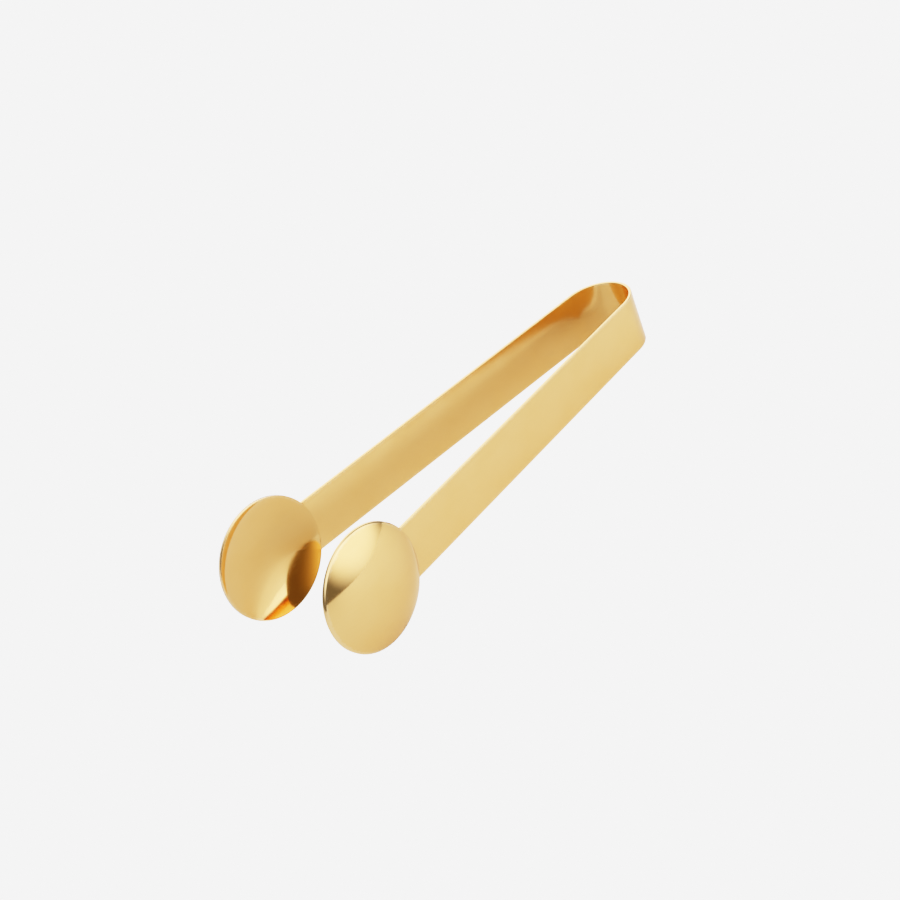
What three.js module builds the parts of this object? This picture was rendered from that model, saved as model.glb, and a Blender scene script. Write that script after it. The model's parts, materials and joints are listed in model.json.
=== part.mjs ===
// Ice tongs: one narrow strip of gold-finished stainless steel, bent into a U-shaped spring bow,
// with two flat arms that spread towards the jaws and a round dished bowl pressed into each end.
//
// The strip is divided where it works differently: the crown of the bow stays still, and each half
// of the tongs (shoulder of the bend, arm and bowl) swings about a line across the strip, halfway
// round its side of the bend.
//
// Row frame: millimetres, +Z up, the tongs standing on edge as they lie on a table, touching it
// with the lower edge of the bow and the lowest point of both bowl rims. The jaws point to -X, the
// bow to +X, the front arm is at -Y and the rear arm at +Y. The origin is the centre of the base.
import * as THREE from 'three';

// ---- driving dimensions, in millimetres and degrees ----
const STRIP_WIDTH = 18.3;
const STRIP_THICKNESS = 1;
const BOW_RADIUS = 12; // to the middle of the strip's thickness
const ARM_SPLAY = 4.8; // each arm's angle from the middle plane of the tongs
const ARM_LENGTH = 122.7; // along the middle of the arm, from the end of the bend to the bowl's rim
const BOWL_ACROSS = 40;
const BOWL_ALONG = 38.8;
const BOWL_TOE_IN = 2.4; // each bowl's rim plane leans inwards from its arm by this angle
const DISH_SLOPE = 26; // at the rim, of the sphere that the dish follows
const RIM_STEEPENING = 6; // what the dish's slope gains on the sphere's by the rim
const SPLIT_SHARE = 0.5; // the flexing line, as a share of each half of the bend
const JOINT_GAP = 0.3; // between neighbouring lengths of the strip

// ---- facets ----
const CROWN_FACETS = 16;
const SHOULDER_FACETS = 8;
const END_FACETS = 12;
const BOWL_FACETS = 56;
const DISH_RINGS = 7;

// ---- worked out from the driving dimensions ----
const HALF_WIDTH = STRIP_WIDTH / 2;
const HALF_THICKNESS = STRIP_THICKNESS / 2;
const HALF_ACROSS = BOWL_ACROSS / 2;
const HALF_ALONG = BOWL_ALONG / 2;
const BEND = THREE.MathUtils.degToRad(90 - ARM_SPLAY); // half of the whole bend
const SPLIT = BEND * SPLIT_SHARE;
const SPLAY = THREE.MathUtils.degToRad(ARM_SPLAY);
const TOE_IN = THREE.MathUtils.degToRad(BOWL_TOE_IN);
const HALF_GAP_ANGLE = JOINT_GAP / 2 / BOW_RADIUS;
// From the bowl's rim, where the middle of the arm meets it, to the bowl's centre.
const RIM_TO_CENTRE = HALF_ALONG;
// The table touches the bow's outer lower edge and the bowls' lowest points.
const BOW_TO_BOWL =
  BOW_RADIUS * (1 - Math.cos(BEND)) +
  ARM_LENGTH * Math.cos(SPLAY) +
  RIM_TO_CENTRE * Math.cos(SPLAY - TOE_IN) +
  HALF_THICKNESS;
const PITCH = Math.atan((HALF_ACROSS - HALF_WIDTH) / BOW_TO_BOWL);

const GOLD_OUTSIDE = 0xdfc386;
const GOLD_INSIDE = 0xe2b565;

// A polished gold material; each length of the strip has its own.
function gold(color) {
  return new THREE.MeshStandardMaterial({ color, roughness: 0.18, metalness: 1 });
}

// A length of the bend between two angles from the middle of the bow. The outline is drawn round
// the bend's centre and extruded across the strip.
function bendLength(name, fromAngle, toAngle, facets) {
  const outline = new THREE.Shape();
  outline.absarc(0, 0, BOW_RADIUS + HALF_THICKNESS, fromAngle, toAngle, false);
  outline.absarc(0, 0, BOW_RADIUS - HALF_THICKNESS, toAngle, fromAngle, true);
  outline.closePath();
  const geometry = new THREE.ExtrudeGeometry(outline, {
    depth: STRIP_WIDTH,
    curveSegments: facets,
    bevelEnabled: false,
  });
  geometry.translate(-BOW_RADIUS, 0, -HALF_WIDTH);
  const length = new THREE.Mesh(geometry, gold(GOLD_OUTSIDE));
  length.name = name;
  return length;
}

// A flat arm from x = 0 towards -X, its far end hollowed to follow the bowl's rim. The outline lies
// in the plane of the strip and is extruded through the strip's thickness.
function arm(name) {
  const hollowAlong = HALF_ALONG + JOINT_GAP;
  const hollowAcross = HALF_ACROSS + JOINT_GAP;
  const halfAngle = Math.asin(HALF_WIDTH / hollowAcross);
  const bowlCentre = -ARM_LENGTH - RIM_TO_CENTRE;
  const outline = new THREE.Shape();
  outline.moveTo(-JOINT_GAP, -HALF_WIDTH);
  outline.lineTo(-JOINT_GAP, HALF_WIDTH);
  outline.absellipse(bowlCentre, 0, hollowAlong, hollowAcross, halfAngle, -halfAngle, true);
  outline.closePath();
  const geometry = new THREE.ExtrudeGeometry(outline, {
    depth: STRIP_THICKNESS,
    curveSegments: END_FACETS,
    bevelEnabled: false,
  });
  geometry.rotateX(Math.PI / 2);
  geometry.translate(0, HALF_THICKNESS, 0);
  const plate = new THREE.Mesh(geometry, gold(GOLD_OUTSIDE));
  plate.name = name;
  return plate;
}

// The dish's slope at a share of its rim's radius: a sphere's, and a little steeper at the rim.
function dishSlope(share) {
  return THREE.MathUtils.degToRad(DISH_SLOPE * share + RIM_STEEPENING * share ** 4);
}

// A round dish turned about Y with its hollow facing +Y, then drawn in slightly along the arm. The
// middle of its thickness is at y = 0 at the rim, and about 5.2 mm below that at the centre. Both
// faces lie half a thickness from it, measured squarely to its slope, and the rim is cut along Y.
function bowl(name) {
  const inside = [];
  const outside = [];
  const step = HALF_ACROSS / DISH_RINGS;
  let level = 0;
  for (let ring = DISH_RINGS; ring >= 0; ring -= 1) {
    const reach = HALF_THICKNESS / Math.cos(dishSlope(ring / DISH_RINGS));
    outside.unshift(new THREE.Vector2(step * ring, level - reach));
    inside.push(new THREE.Vector2(step * ring, level + reach));
    level -= step * Math.tan(dishSlope((ring - 0.5) / DISH_RINGS));
  }
  const geometry = new THREE.LatheGeometry([...outside, ...inside], BOWL_FACETS);
  geometry.scale(BOWL_ALONG / BOWL_ACROSS, 1, 1);
  const dish = new THREE.Mesh(geometry, gold(GOLD_INSIDE));
  dish.name = name;
  return dish;
}

// One half of the tongs: the shoulder of the bend, the arm and the bowl. side is -1 for the front
// half and +1 for the rear half.
function half(label, side) {
  const shoulderStart = SPLIT + HALF_GAP_ANGLE;
  const from = side > 0 ? shoulderStart : -BEND;
  const to = side > 0 ? BEND : -shoulderStart;
  const shoulder = bendLength(`${label}_shoulder`, from, to, SHOULDER_FACETS);

  const dish = bowl(`${label}_bowl`);
  if (side > 0) {
    dish.rotation.x = Math.PI;
  }
  const jaw = new THREE.Group();
  jaw.position.x = -ARM_LENGTH;
  jaw.rotation.z = side * TOE_IN;
  dish.position.x = -RIM_TO_CENTRE;
  jaw.add(dish);

  const limb = new THREE.Group();
  limb.position.set(BOW_RADIUS * (Math.cos(BEND) - 1), side * BOW_RADIUS * Math.sin(BEND), 0);
  limb.rotation.z = -side * SPLAY;
  limb.add(arm(`${label}_arm`), jaw);

  const group = new THREE.Group();
  group.add(shoulder, limb);
  return group;
}

const tongs = new THREE.Group();
const crownEnd = SPLIT - HALF_GAP_ANGLE;
tongs.add(
  bendLength('spring_bow', -crownEnd, crownEnd, CROWN_FACETS),
  half('front', -1),
  half('rear', 1),
);
tongs.rotation.y = PITCH;

// The origin is the centre of the base of the object's box.
const box = new THREE.Box3().setFromObject(tongs, true);
const centre = box.getCenter(new THREE.Vector3());
tongs.position.set(-centre.x, -centre.y, -box.min.z);

export default tongs;
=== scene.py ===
"""Ice tongs in gold-finished stainless steel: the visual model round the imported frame."""
import json
import math

import bmesh
import bpy
from mathutils import Matrix, Vector


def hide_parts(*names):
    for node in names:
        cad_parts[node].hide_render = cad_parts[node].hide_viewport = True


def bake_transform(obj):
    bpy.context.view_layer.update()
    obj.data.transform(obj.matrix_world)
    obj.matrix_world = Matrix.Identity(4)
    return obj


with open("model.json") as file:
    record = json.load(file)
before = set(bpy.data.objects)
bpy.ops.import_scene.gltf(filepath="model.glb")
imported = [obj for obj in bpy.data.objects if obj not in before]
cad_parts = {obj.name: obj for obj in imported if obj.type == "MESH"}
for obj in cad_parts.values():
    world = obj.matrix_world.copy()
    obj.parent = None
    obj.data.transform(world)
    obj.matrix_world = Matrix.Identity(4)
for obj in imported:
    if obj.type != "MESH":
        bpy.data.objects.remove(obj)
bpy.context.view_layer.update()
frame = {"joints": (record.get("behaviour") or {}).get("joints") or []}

MM = 0.001

# ---- the strip, with the CAD source's dimensions, in metres and radians ----
STRIP_WIDTH = 18.3 * MM
STRIP_THICKNESS = 1.0 * MM
BOW_RADIUS = 12 * MM
ARM_SPLAY = math.radians(4.8)
ARM_LENGTH = 122.7 * MM
BOWL_ACROSS = 40 * MM
BOWL_ALONG = 38.8 * MM
BOWL_TOE_IN = math.radians(2.4)
DISH_SLOPE = math.radians(26)
RIM_STEEPENING = math.radians(6)

# ---- finer than the CAD source ----
EDGE_ROUNDING = 0.18 * MM
EDGE_SUPPORT = 0.35 * MM  # from each edge to the row of vertices next to it
RIM_SHARPNESS = 8  # the higher, the nearer the rim the dish steepens

# ---- how finely the strip is divided ----
BEND_STEPS = 36
ARM_STEPS = 24
ACROSS_STEPS = 8
FAR_RIM_STEPS = 62
DISH_STEPS = 32
ROUNDING_STEPS = 4
STRAIGHT_ROWS_END = 4 * MM  # short of the bowl's rim

BEND = math.pi / 2 - ARM_SPLAY
BEND_LENGTH = BOW_RADIUS * BEND
HALF_WIDTH = STRIP_WIDTH / 2
HALF_THICKNESS = STRIP_THICKNESS / 2
HALF_ACROSS = BOWL_ACROSS / 2
HALF_ALONG = BOWL_ALONG / 2

SHARP_ANGLE = math.radians(60)
SEAM_TOLERANCE = 0.001 * MM


# ---- from the strip's own axes to the row frame ----
def strip_to_row():
    """The strip's axes are +X out of the bow, +Y towards the rear arm and +Z across its width, from
    the middle of the bow. The two hinges lie halfway round each side of the bend."""
    hinges = {joint["name"]: joint for joint in frame["joints"]}
    across = Vector(hinges["rear_squeeze"]["axis"]).normalized()
    rear = Vector(hinges["rear_squeeze"]["pos_m"])
    front = Vector(hinges["front_squeeze"]["pos_m"])
    opening = (rear - front).normalized()
    along = opening.cross(across)
    turn = Matrix((along, opening, across)).transposed()
    hinge_depth = BOW_RADIUS * (1 - math.cos(BEND / 2))
    origin = (rear + front) / 2 + along * hinge_depth
    return Matrix.Translation(origin) @ turn.to_4x4()


ROW = strip_to_row()


def bend_end(side):
    """Where the bend meets the arm, in the strip's axes; side is -1 in front and 1 at the rear."""
    return Vector((BOW_RADIUS * (math.cos(BEND) - 1), side * BOW_RADIUS * math.sin(BEND), 0))


# ---- the strip's middle surface ----
def dish_slope(share):
    """The dish's slope at a share of its radius: a sphere's, and steeper right at the rim."""
    return DISH_SLOPE * share + RIM_STEEPENING * share**RIM_SHARPNESS


def dish_profile():
    """(share of the radius, depth, slope) of points from the rim to the centre."""
    inside_rim = 1 - EDGE_SUPPORT / HALF_ACROSS
    shares = [1, inside_rim]
    shares += [inside_rim * (1 - step / DISH_STEPS) for step in range(1, DISH_STEPS + 1)]
    profile = []
    depth = 0
    for share, outer in zip(shares, [1] + shares):
        middle = (share + outer) / 2
        depth += (outer - share) * HALF_ACROSS * math.tan(dish_slope(middle))
        profile.append((share, depth, dish_slope(share)))
    return profile


def across_angles():
    """The angles round the bowl's centre at which the strip's lengthwise lines meet its rim."""
    edge = math.asin(HALF_WIDTH / HALF_ACROSS)
    inner = math.asin((HALF_WIDTH - EDGE_SUPPORT) / HALF_ACROSS)
    middle = [inner * (2 * step / ACROSS_STEPS - 1) for step in range(ACROSS_STEPS + 1)]
    return [-edge] + middle + [edge]


def strip_stations():
    """Distances from the middle of the bow of the strip's straight rows of vertices."""
    straight = ARM_LENGTH - STRAIGHT_ROWS_END
    stations = [BEND_LENGTH * step / BEND_STEPS for step in range(BEND_STEPS + 1)]
    stations += [BEND_LENGTH + straight * step / ARM_STEPS for step in range(1, ARM_STEPS + 1)]
    return stations


class HalfStrip:
    """Vertices and faces of one half of the tongs' strip, from the middle of the bow to the jaw."""

    def __init__(self, side):
        self.side = side
        self.points = []
        self.to_outside = []
        self.faces = []
        self.bowl_faces = set()
        self.arm_start = bend_end(side)
        self.along = Vector((-math.sin(BEND), side * math.cos(BEND), 0))
        self.out = Vector((math.cos(BEND), side * math.sin(BEND), 0))
        toe_in = Matrix.Rotation(side * BOWL_TOE_IN, 3, "Z")
        self.jaw_along = toe_in @ self.along
        self.jaw_out = toe_in @ self.out
        self.bowl_centre = self.arm_start + self.along * ARM_LENGTH + self.jaw_along * HALF_ALONG

    def add(self, point, to_outside):
        """A point of the middle surface, and what leads from it to the outside face."""
        self.points.append(point)
        self.to_outside.append(to_outside)
        return len(self.points) - 1

    def on_strip(self, station, height):
        """The strip's point at a distance from the middle of the bow, and its way outside."""
        up = Vector((0, 0, height))
        if station < BEND_LENGTH:
            angle = station / BOW_RADIUS
            outward = Vector((math.cos(angle), self.side * math.sin(angle), 0))
            point = outward * BOW_RADIUS - Vector((BOW_RADIUS, 0, 0)) + up
            return point, outward * HALF_THICKNESS
        point = self.arm_start + self.along * (station - BEND_LENGTH) + up
        return point, self.out * HALF_THICKNESS

    def on_bowl(self, share, depth, slope, angle):
        """Half the thickness lies each way, squarely to the slope, and the rim is cut straight."""
        point = self.bowl_centre + self.jaw_out * depth
        point += self.jaw_along * (-HALF_ALONG * share * math.cos(angle))
        point += Vector((0, 0, HALF_ACROSS * share * math.sin(angle)))
        return point, self.jaw_out * (HALF_THICKNESS / math.cos(slope))

    def add_band(self, row, following, closed=False):
        count = len(row)
        for column in range(count if closed else count - 1):
            after = (column + 1) % count
            self.faces.append((row[column], following[column], following[after], row[after]))

    def build_strip(self):
        """Rows of the bend and the arm; returns the last row, which follows the bowl's rim."""
        angles = across_angles()
        heights = [HALF_ACROSS * math.sin(angle) for angle in angles]
        rows = []
        for station in strip_stations():
            rows.append([self.add(*self.on_strip(station, height)) for height in heights])
        near_rim = []
        for angle, height in zip(angles, heights):
            to_rim = ARM_LENGTH + HALF_ALONG * (1 - math.cos(angle))
            station = BEND_LENGTH + to_rim - EDGE_SUPPORT
            near_rim.append(self.add(*self.on_strip(station, height)))
        rows.append(near_rim)
        for row, following in zip(rows, rows[1:]):
            self.add_band(row, following)
        return near_rim

    def build_bowl(self, near_rim):
        """Rings of the bowl from the rim inwards; the arm's last row joins the rim's near side."""
        near = across_angles()
        edge = near[-1]
        far_angle = 2 * math.pi - 2 * edge
        far = [edge + far_angle * step / FAR_RIM_STEPS for step in range(1, FAR_RIM_STEPS)]
        around = near + far
        *profile, middle = dish_profile()
        rings = [[self.add(*self.on_bowl(*place, angle)) for angle in around] for place in profile]
        centre = self.add(*self.on_bowl(*middle, 0))

        self.add_band(near_rim, rings[0][: len(near)])
        first_face = len(self.faces)
        for ring, following in zip(rings, rings[1:]):
            self.add_band(ring, following, closed=True)
        last = rings[-1]
        for column, point in enumerate(last):
            self.faces.append((point, centre, last[(column + 1) % len(last)]))
        self.bowl_faces = set(range(first_face, len(self.faces)))

    def sheet_edges(self):
        """Directed edges with a face on one side only: the sheet's outline."""
        edges = [edge for face in self.faces for edge in zip(face, face[1:] + face[:1])]
        used = set(edges)
        return [(start, end) for start, end in edges if (end, start) not in used]

    def to_mesh(self, name):
        """The sheet given its thickness, with rounded edges, as a closed mesh in the row frame."""
        self.build_bowl(self.build_strip())
        model = bmesh.new()
        outer = [model.verts.new(ROW @ (p + out)) for p, out in zip(self.points, self.to_outside)]
        inner = [model.verts.new(ROW @ (p - out)) for p, out in zip(self.points, self.to_outside)]
        for index, face in enumerate(self.faces):
            slot = 1 if index in self.bowl_faces else 0
            model.faces.new([outer[v] for v in face]).material_index = slot
            model.faces.new([inner[v] for v in reversed(face)]).material_index = slot
        for start, end in self.sheet_edges():
            model.faces.new((outer[end], outer[start], inner[start], inner[end]))
        bmesh.ops.recalc_face_normals(model, faces=model.faces)
        round_edges(model)
        mesh = bpy.data.meshes.new(name)
        model.to_mesh(mesh)
        model.free()
        mesh.shade_smooth()
        return mesh


def at_seam(edge):
    """Whether an edge lies in the plane where the two halves meet, at the middle of the bow."""
    to_strip = ROW.inverted()
    return all(abs((to_strip @ vertex.co).y) < SEAM_TOLERANCE for vertex in edge.verts)


def round_edges(model):
    """Rounds the strip's long edges and the rim, but not where the two halves meet."""
    sharp = [
        edge
        for edge in model.edges
        if not at_seam(edge) and edge.is_manifold and edge.calc_face_angle() > SHARP_ANGLE
    ]
    bmesh.ops.bevel(
        model,
        geom=sharp,
        offset=EDGE_ROUNDING,
        offset_type="OFFSET",
        segments=ROUNDING_STEPS,
        profile=0.5,
        affect="EDGES",
        clamp_overlap=True,
    )
    for edge in model.edges:
        edge.smooth = not at_seam(edge)


# ---- node trees ----
class NodeTree:
    """An emptied node tree, with short calls for the nodes that the materials and studio use."""

    def __init__(self, tree):
        tree.nodes.clear()
        self.nodes = tree.nodes
        self.links = tree.links

    def feed(self, socket, value):
        """Links a socket into another, or sets it to a number or colour."""
        if isinstance(value, bpy.types.NodeSocket):
            self.links.new(value, socket)
        else:
            socket.default_value = value

    def node(self, node_type, **inputs):
        """A node with the inputs named, in words joined by underscores."""
        node = self.nodes.new(node_type)
        for name, value in inputs.items():
            self.feed(node.inputs[name.replace("_", " ")], value)
        return node

    def math(self, operation, *values):
        node = self.nodes.new("ShaderNodeMath")
        node.operation = operation
        for socket, value in zip(node.inputs, values):
            self.feed(socket, value)
        return node.outputs[0]

    def vector_math(self, operation, vector, constant):
        node = self.nodes.new("ShaderNodeVectorMath")
        node.operation = operation
        self.feed(node.inputs[0], vector)
        node.inputs[1].default_value = constant
        return node.outputs

    def smooth_range(self, value, low, high, to_low=0.0, to_high=1.0):
        """to_low below low, to_high above high and a smooth way between; low may be above high."""
        node = self.nodes.new("ShaderNodeMapRange")
        node.interpolation_type = "SMOOTHSTEP"
        for socket, given in zip(node.inputs, (value, low, high, to_low, to_high)):
            self.feed(socket, given)
        return node.outputs["Result"]

    def noise(self, place, along, across, detail):
        """Fractal noise from 0 to 1, with so many features to a unit along and across the strip."""
        stretched = self.vector_math("MULTIPLY", place, (along, across, 0))["Vector"]
        noise = self.node("ShaderNodeTexNoise", Vector=stretched, Scale=1.0, Detail=detail)
        return noise.outputs[0]

    def mix(self, share, colour_a, colour_b):
        """Two colours mixed: a Mix node's colours are its inputs 6 and 7 and its output 2."""
        node = self.nodes.new("ShaderNodeMix")
        node.data_type = "RGBA"
        self.feed(node.inputs[0], share)
        self.feed(node.inputs[6], colour_a)
        self.feed(node.inputs[7], colour_b)
        return node.outputs[2]

    def bump(self, height, distance, normal=None):
        node = self.node("ShaderNodeBump", Height=height, Strength=1.0, Distance=distance)
        if normal is not None:
            self.feed(node.inputs["Normal"], normal)
        return node.outputs["Normal"]

    def show(self, output_type, shader):
        """Makes the shader node the tree's result."""
        output = self.nodes.new(output_type)
        self.feed(output.inputs["Surface"], shader.outputs[0])


def material_tree(name):
    """A new material and its node tree."""
    material = bpy.data.materials.new(name)
    material.use_nodes = True
    return material, NodeTree(material.node_tree)


# ---- materials ----
GOLD = (0.88, 0.56, 0.24, 1)
DEEP_GOLD = (0.85, 0.52, 0.205, 1)
WORN_GOLD = (0.9, 0.63, 0.33, 1)
PLACE = "strip_place"

# The patterns' features to a millimetre along the strip, those across it, and their detail.
CLOUDS = (0.07, 0.11, 3.0)
GRAIN = (0.09, 4.5, 2.0)
HAIRLINES = (0.22, 9.0, 0.0)
WAVES = (0.05, 0.09, 1.0)
CHATTER = (0.9, 0.9, 2.0)

# The levels of noise that each pattern starts and is full at.
HANDLED_LEVELS = (0.35, 0.7)
GRAIN_LEVELS = (0.3, 0.7)
SCRATCH_LEVELS = (0.74, 0.84)

# The worn edge's width in mm is WEAR_SPREAD times the chatter, and WEAR_BACK less. It fades in from
# the first of WEAR_FADE to the second, in mm past that width.
WEAR_SPREAD = 1.4
WEAR_BACK = 0.15
WEAR_FADE = (0.35, -0.1)

GRAIN_TINT = 0.35
CLOUD_TINT = 0.5
WEAR_TINT = 0.65
WEAR_POLISH = 0.25  # how much of its roughness a worn edge has lost
STREAKS = 0.25  # of the haze, either way along the grain


def gold_material(name, roughness, haze, grain_depth, wave_depth):
    """Gold-coated steel. Its patterns lie on the strip's own coordinates in millimetres: along the
    strip, across it, and the distance from its edge. Roughness runs from the given value, where it
    is freshly polished, to haze more where it is handled; depths are of the grain's fine lengthwise
    lines and of the slow waves that rolling and pressing leave."""
    material, tree = material_tree(name)
    place_node = tree.nodes.new("ShaderNodeAttribute")
    place_node.attribute_name = PLACE
    place = place_node.outputs["Vector"]
    from_edge = tree.node("ShaderNodeSeparateXYZ", Vector=place).outputs["Z"]

    clouds = tree.noise(place, *CLOUDS)
    grain = tree.noise(place, *GRAIN)
    hairlines = tree.noise(place, *HAIRLINES)
    waves = tree.noise(place, *WAVES)
    chatter = tree.noise(place, *CHATTER)

    handled = tree.smooth_range(clouds, *HANDLED_LEVELS)
    scratch = tree.smooth_range(hairlines, *SCRATCH_LEVELS)
    worn_width = tree.math("MULTIPLY_ADD", chatter, WEAR_SPREAD, -WEAR_BACK)
    worn = tree.smooth_range(tree.math("SUBTRACT", from_edge, worn_width), *WEAR_FADE)

    grain_share = tree.smooth_range(grain, *GRAIN_LEVELS, 0.0, GRAIN_TINT)
    tinted = tree.mix(grain_share, GOLD, DEEP_GOLD)
    clouded = tree.mix(tree.math("MULTIPLY", handled, CLOUD_TINT), tinted, DEEP_GOLD)
    colour = tree.mix(tree.math("MULTIPLY", worn, WEAR_TINT), clouded, WORN_GOLD)

    streak = haze * STREAKS
    streaks = tree.smooth_range(grain, *GRAIN_LEVELS, roughness - streak, roughness + streak)
    hazed = tree.math("MULTIPLY_ADD", handled, haze, streaks)
    scratched = tree.math("MULTIPLY_ADD", scratch, haze, hazed)
    finish = tree.math("MULTIPLY_ADD", worn, -roughness * WEAR_POLISH, scratched)

    waved = tree.bump(waves, wave_depth)
    normal = tree.bump(tree.math("SUBTRACT", grain, scratch), grain_depth, waved)
    shader = tree.node(
        "ShaderNodeBsdfPrincipled", Base_Color=colour, Roughness=finish, Metallic=1.0, Normal=normal
    )
    tree.show("ShaderNodeOutputMaterial", shader)
    return material


satin_gold = gold_material("satin_gold", 0.13, 0.05, 0.0015 * MM, 0.05 * MM)
polished_gold = gold_material("polished_gold", 0.055, 0.035, 0.0006 * MM, 0.035 * MM)


def add_place(mesh, side):
    """Gives each vertex its place on the strip, which the gold's patterns follow."""
    to_strip = ROW.inverted()
    values = []
    for vertex in mesh.vertices:
        point = to_strip @ vertex.co
        from_bend = Vector((point.x + BOW_RADIUS, side * point.y))
        angle = math.atan2(from_bend.y, from_bend.x)
        if angle < BEND:
            along = BOW_RADIUS * angle
        else:
            along = BEND_LENGTH + math.cos(BEND) * from_bend.y - math.sin(BEND) * from_bend.x
        from_centre = (along - BEND_LENGTH - ARM_LENGTH - HALF_ALONG) / HALF_ALONG
        in_bowl = HALF_ACROSS * (1 - math.hypot(from_centre, point.z / HALF_ACROSS))
        in_strip = HALF_WIDTH - abs(point.z) if from_centre < 0 else 0
        values += [along / MM, point.z / MM, max(in_bowl, in_strip) / MM]
    place = mesh.attributes.new(PLACE, "FLOAT_VECTOR", "POINT")
    place.data.foreach_set("vector", values)


def half_strip(label, side):
    mesh = HalfStrip(side).to_mesh(f"{label}_half_strip")
    add_place(mesh, side)
    piece = bpy.data.objects.new(f"{label}_half_strip", mesh)
    bpy.context.scene.collection.objects.link(piece)
    mesh.materials.append(satin_gold)
    mesh.materials.append(polished_gold)
    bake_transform(piece)
    return piece


front = half_strip("front", -1)
rear = half_strip("rear", 1)
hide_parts("front_shoulder", "front_arm", "front_bowl", "spring_bow")
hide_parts("rear_shoulder", "rear_arm", "rear_bowl")

# ---- camera ----
CAMERA_AZIMUTH = math.radians(-34.82)
CAMERA_ELEVATION = math.radians(31.85)
CAMERA_ROLL = math.radians(24.885)
CAMERA_DISTANCE = 678.7 * MM
CAMERA_TARGET = Vector((-0.23, 6.81, 12.91)) * MM
CAMERA_LENS = 84.75
SENSOR_WIDTH = 36

# The picture shows CEILING times s / (1 + s) for s = (light / MIDDLE) to the power of CONTRAST.
CONTRAST = 1.5
MIDDLE = 0.486
CEILING = 1.1
WHITE_LEVEL = 4.0  # the light at the curve's bright end
CURVE_STEPS = 24
COMBINED_CURVE = 3  # after the curves of red, green and blue


def response(light):
    """What the picture shows, in linear light, of the light that reaches the camera."""
    strength = (light / MIDDLE) ** CONTRAST
    return CEILING * strength / (1 + strength)


def light_for(shown):
    """The light that the picture shows as the given value."""
    return MIDDLE * (shown / (CEILING - shown)) ** (1 / CONTRAST)


def camera_response():
    """A photographic tone curve: more contrast in the middle, and highlights that roll off."""
    view = bpy.context.scene.view_settings
    view.view_transform = "Standard"
    view.use_curve_mapping = True
    mapping = view.curve_mapping
    mapping.white_level = (WHITE_LEVEL, WHITE_LEVEL, WHITE_LEVEL)
    curve = mapping.curves[COMBINED_CURVE]
    for step in range(1, CURVE_STEPS):
        share = (step / CURVE_STEPS) ** 2
        curve.points.new(share, response(share * WHITE_LEVEL))
    curve.points[0].location = (0, 0)
    curve.points[-1].location = (1, response(WHITE_LEVEL))
    mapping.update()


def add_camera():
    camera_data = bpy.data.cameras.new("camera")
    camera_data.sensor_width = SENSOR_WIDTH
    camera_data.lens = CAMERA_LENS
    camera = bpy.data.objects.new("camera", camera_data)
    bpy.context.scene.collection.objects.link(camera)
    back = Vector((
        math.sin(CAMERA_AZIMUTH) * math.cos(CAMERA_ELEVATION),
        -math.cos(CAMERA_AZIMUTH) * math.cos(CAMERA_ELEVATION),
        math.sin(CAMERA_ELEVATION),
    ))
    level = (-back).to_track_quat("-Z", "Y").to_matrix()
    camera.matrix_world = (
        Matrix.Translation(CAMERA_TARGET + back * CAMERA_DISTANCE)
        @ (level @ Matrix.Rotation(-CAMERA_ROLL, 3, "Z")).to_4x4()
    )
    bpy.context.scene.camera = camera


# ---- floor and light ----
BACKDROP = light_for(0.905)
FLOOR_SIZE = 20
TABLE_CORNERS = ((-0.6, -0.185), (1.2, 1.0))
# Painted shade: the table goes from its first white at the first x, in metres, to its second,
# darker white at the second.
TABLE_PAINTED_SHADE_SPAN = (0.0, -0.4)
TABLE_WHITES_WITH_PAINTED_SHADE = (0.76, 0.69)
TABLE_ROUGHNESS = 0.35
STUDIO_DIM = 0.2
# Azimuth and elevation, the half angles of the full core and of the edge (degrees), and strength.
SOFT_LIGHTS = (
    (-58, 22, 15, 47, 1.7),
    (-140, 62, 20, 60, 1.5),
    (58, 25, 12, 55, 1.5),
)


def floor_material():
    """Shines evenly with the backdrop's light."""
    material, tree = material_tree("pale_floor")
    shader = tree.node("ShaderNodeEmission", Color=(BACKDROP, BACKDROP, BACKDROP, 1))
    tree.show("ShaderNodeOutputMaterial", shader)
    return material


def table_material():
    """White, with painted shade: a little darker towards the end that the jaws point to."""
    material, tree = material_tree("white_table")
    position = tree.nodes.new("ShaderNodeNewGeometry").outputs["Position"]
    lengthwise = tree.node("ShaderNodeSeparateXYZ", Vector=position).outputs["X"]
    # Painted shade: the table's white falls from the first to the second value along x.
    white = tree.smooth_range(lengthwise, *TABLE_PAINTED_SHADE_SPAN, *TABLE_WHITES_WITH_PAINTED_SHADE)
    shader = tree.node("ShaderNodeBsdfPrincipled", Base_Color=white, Roughness=TABLE_ROUGHNESS)
    tree.show("ShaderNodeOutputMaterial", shader)
    return material


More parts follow.
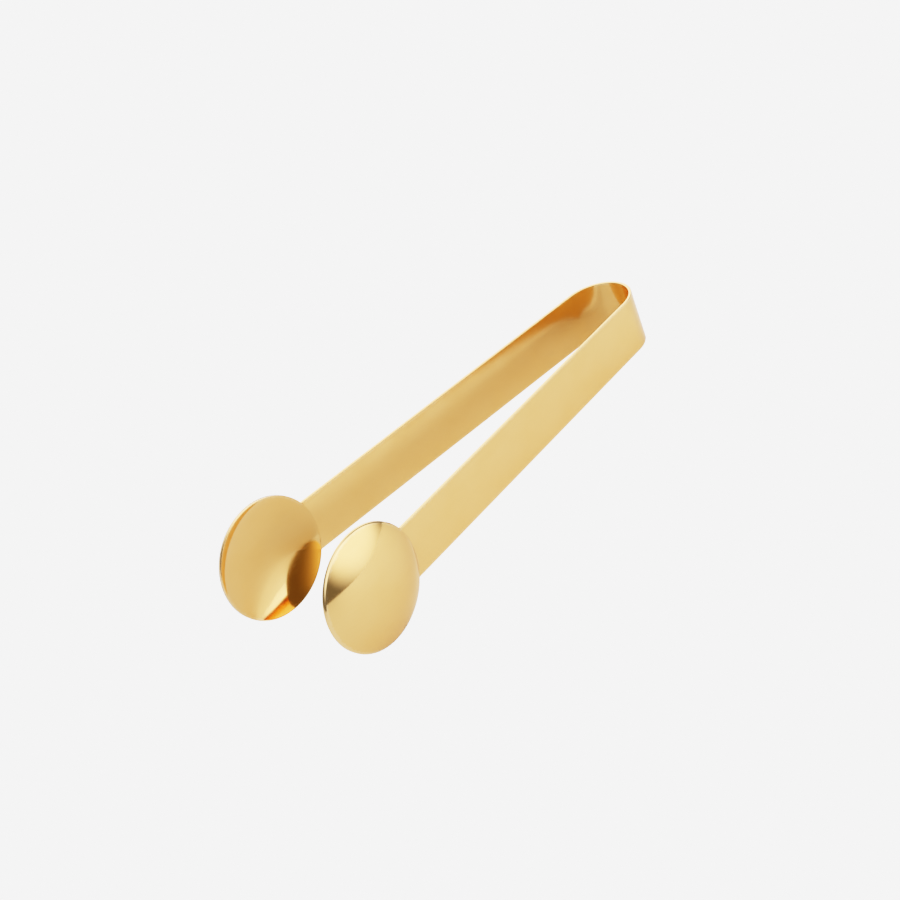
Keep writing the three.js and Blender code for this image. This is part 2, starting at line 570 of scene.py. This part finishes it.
def add_floor():
    """The pale floor that the camera sees, with nothing of the studio's light and shade on it."""
    bpy.ops.mesh.primitive_plane_add(size=FLOOR_SIZE, location=(0, 0, 0))
    floor = bpy.context.object
    floor.name = "floor"
    floor.data.materials.append(floor_material())
    floor.visible_diffuse = False
    floor.visible_glossy = False
    floor.visible_shadow = False


def add_table():
    """The white table top that the gold reflects, with the tongs' shade and glow on it. The camera
    sees the floor in its place."""
    (west, south), (east, north) = TABLE_CORNERS
    mesh = bpy.data.meshes.new("table")
    corners = [(west, south, 0), (east, south, 0), (east, north, 0), (west, north, 0)]
    mesh.from_pydata(corners, [], [(0, 1, 2, 3)])
    table = bpy.data.objects.new("table", mesh)
    bpy.context.scene.collection.objects.link(table)
    mesh.materials.append(table_material())
    table.visible_camera = False


def glow_towards(tree, direction, azimuth, elevation, core, edge, strength):
    """A soft round light: full strength within core of its direction and nothing beyond edge."""
    middle = (
        math.cos(elevation) * math.cos(azimuth),
        math.cos(elevation) * math.sin(azimuth),
        math.sin(elevation),
    )
    facing = tree.vector_math("DOT_PRODUCT", direction, middle)["Value"]
    return tree.smooth_range(facing, math.cos(edge), math.cos(core), 0.0, strength)


def add_world():
    """The camera sees an even pale backdrop; the gold meets a dim studio with big soft lights."""
    world = bpy.data.worlds.new("studio")
    bpy.context.scene.world = world
    world.use_nodes = True
    tree = NodeTree(world.node_tree)
    direction = tree.nodes.new("ShaderNodeTexCoord").outputs["Generated"]
    glow = STUDIO_DIM
    for *angles, strength in SOFT_LIGHTS:
        light = glow_towards(tree, direction, *map(math.radians, angles), strength)
        glow = tree.math("ADD", light, glow)
    studio = tree.node("ShaderNodeBackground", Color=(1, 1, 1, 1), Strength=glow)
    backdrop = tree.node("ShaderNodeBackground", Color=(BACKDROP, BACKDROP, BACKDROP, 1))
    path = tree.nodes.new("ShaderNodeLightPath")
    mix = tree.nodes.new("ShaderNodeMixShader")
    tree.feed(mix.inputs[0], path.outputs["Is Camera Ray"])
    tree.feed(mix.inputs[1], studio.outputs[0])
    tree.feed(mix.inputs[2], backdrop.outputs[0])
    tree.show("ShaderNodeOutputWorld", mix)


add_floor()
add_table()
add_world()
add_camera()
camera_response()
bpy.context.scene.cycles.max_bounces = 24
bpy.context.scene.cycles.glossy_bounces = 16
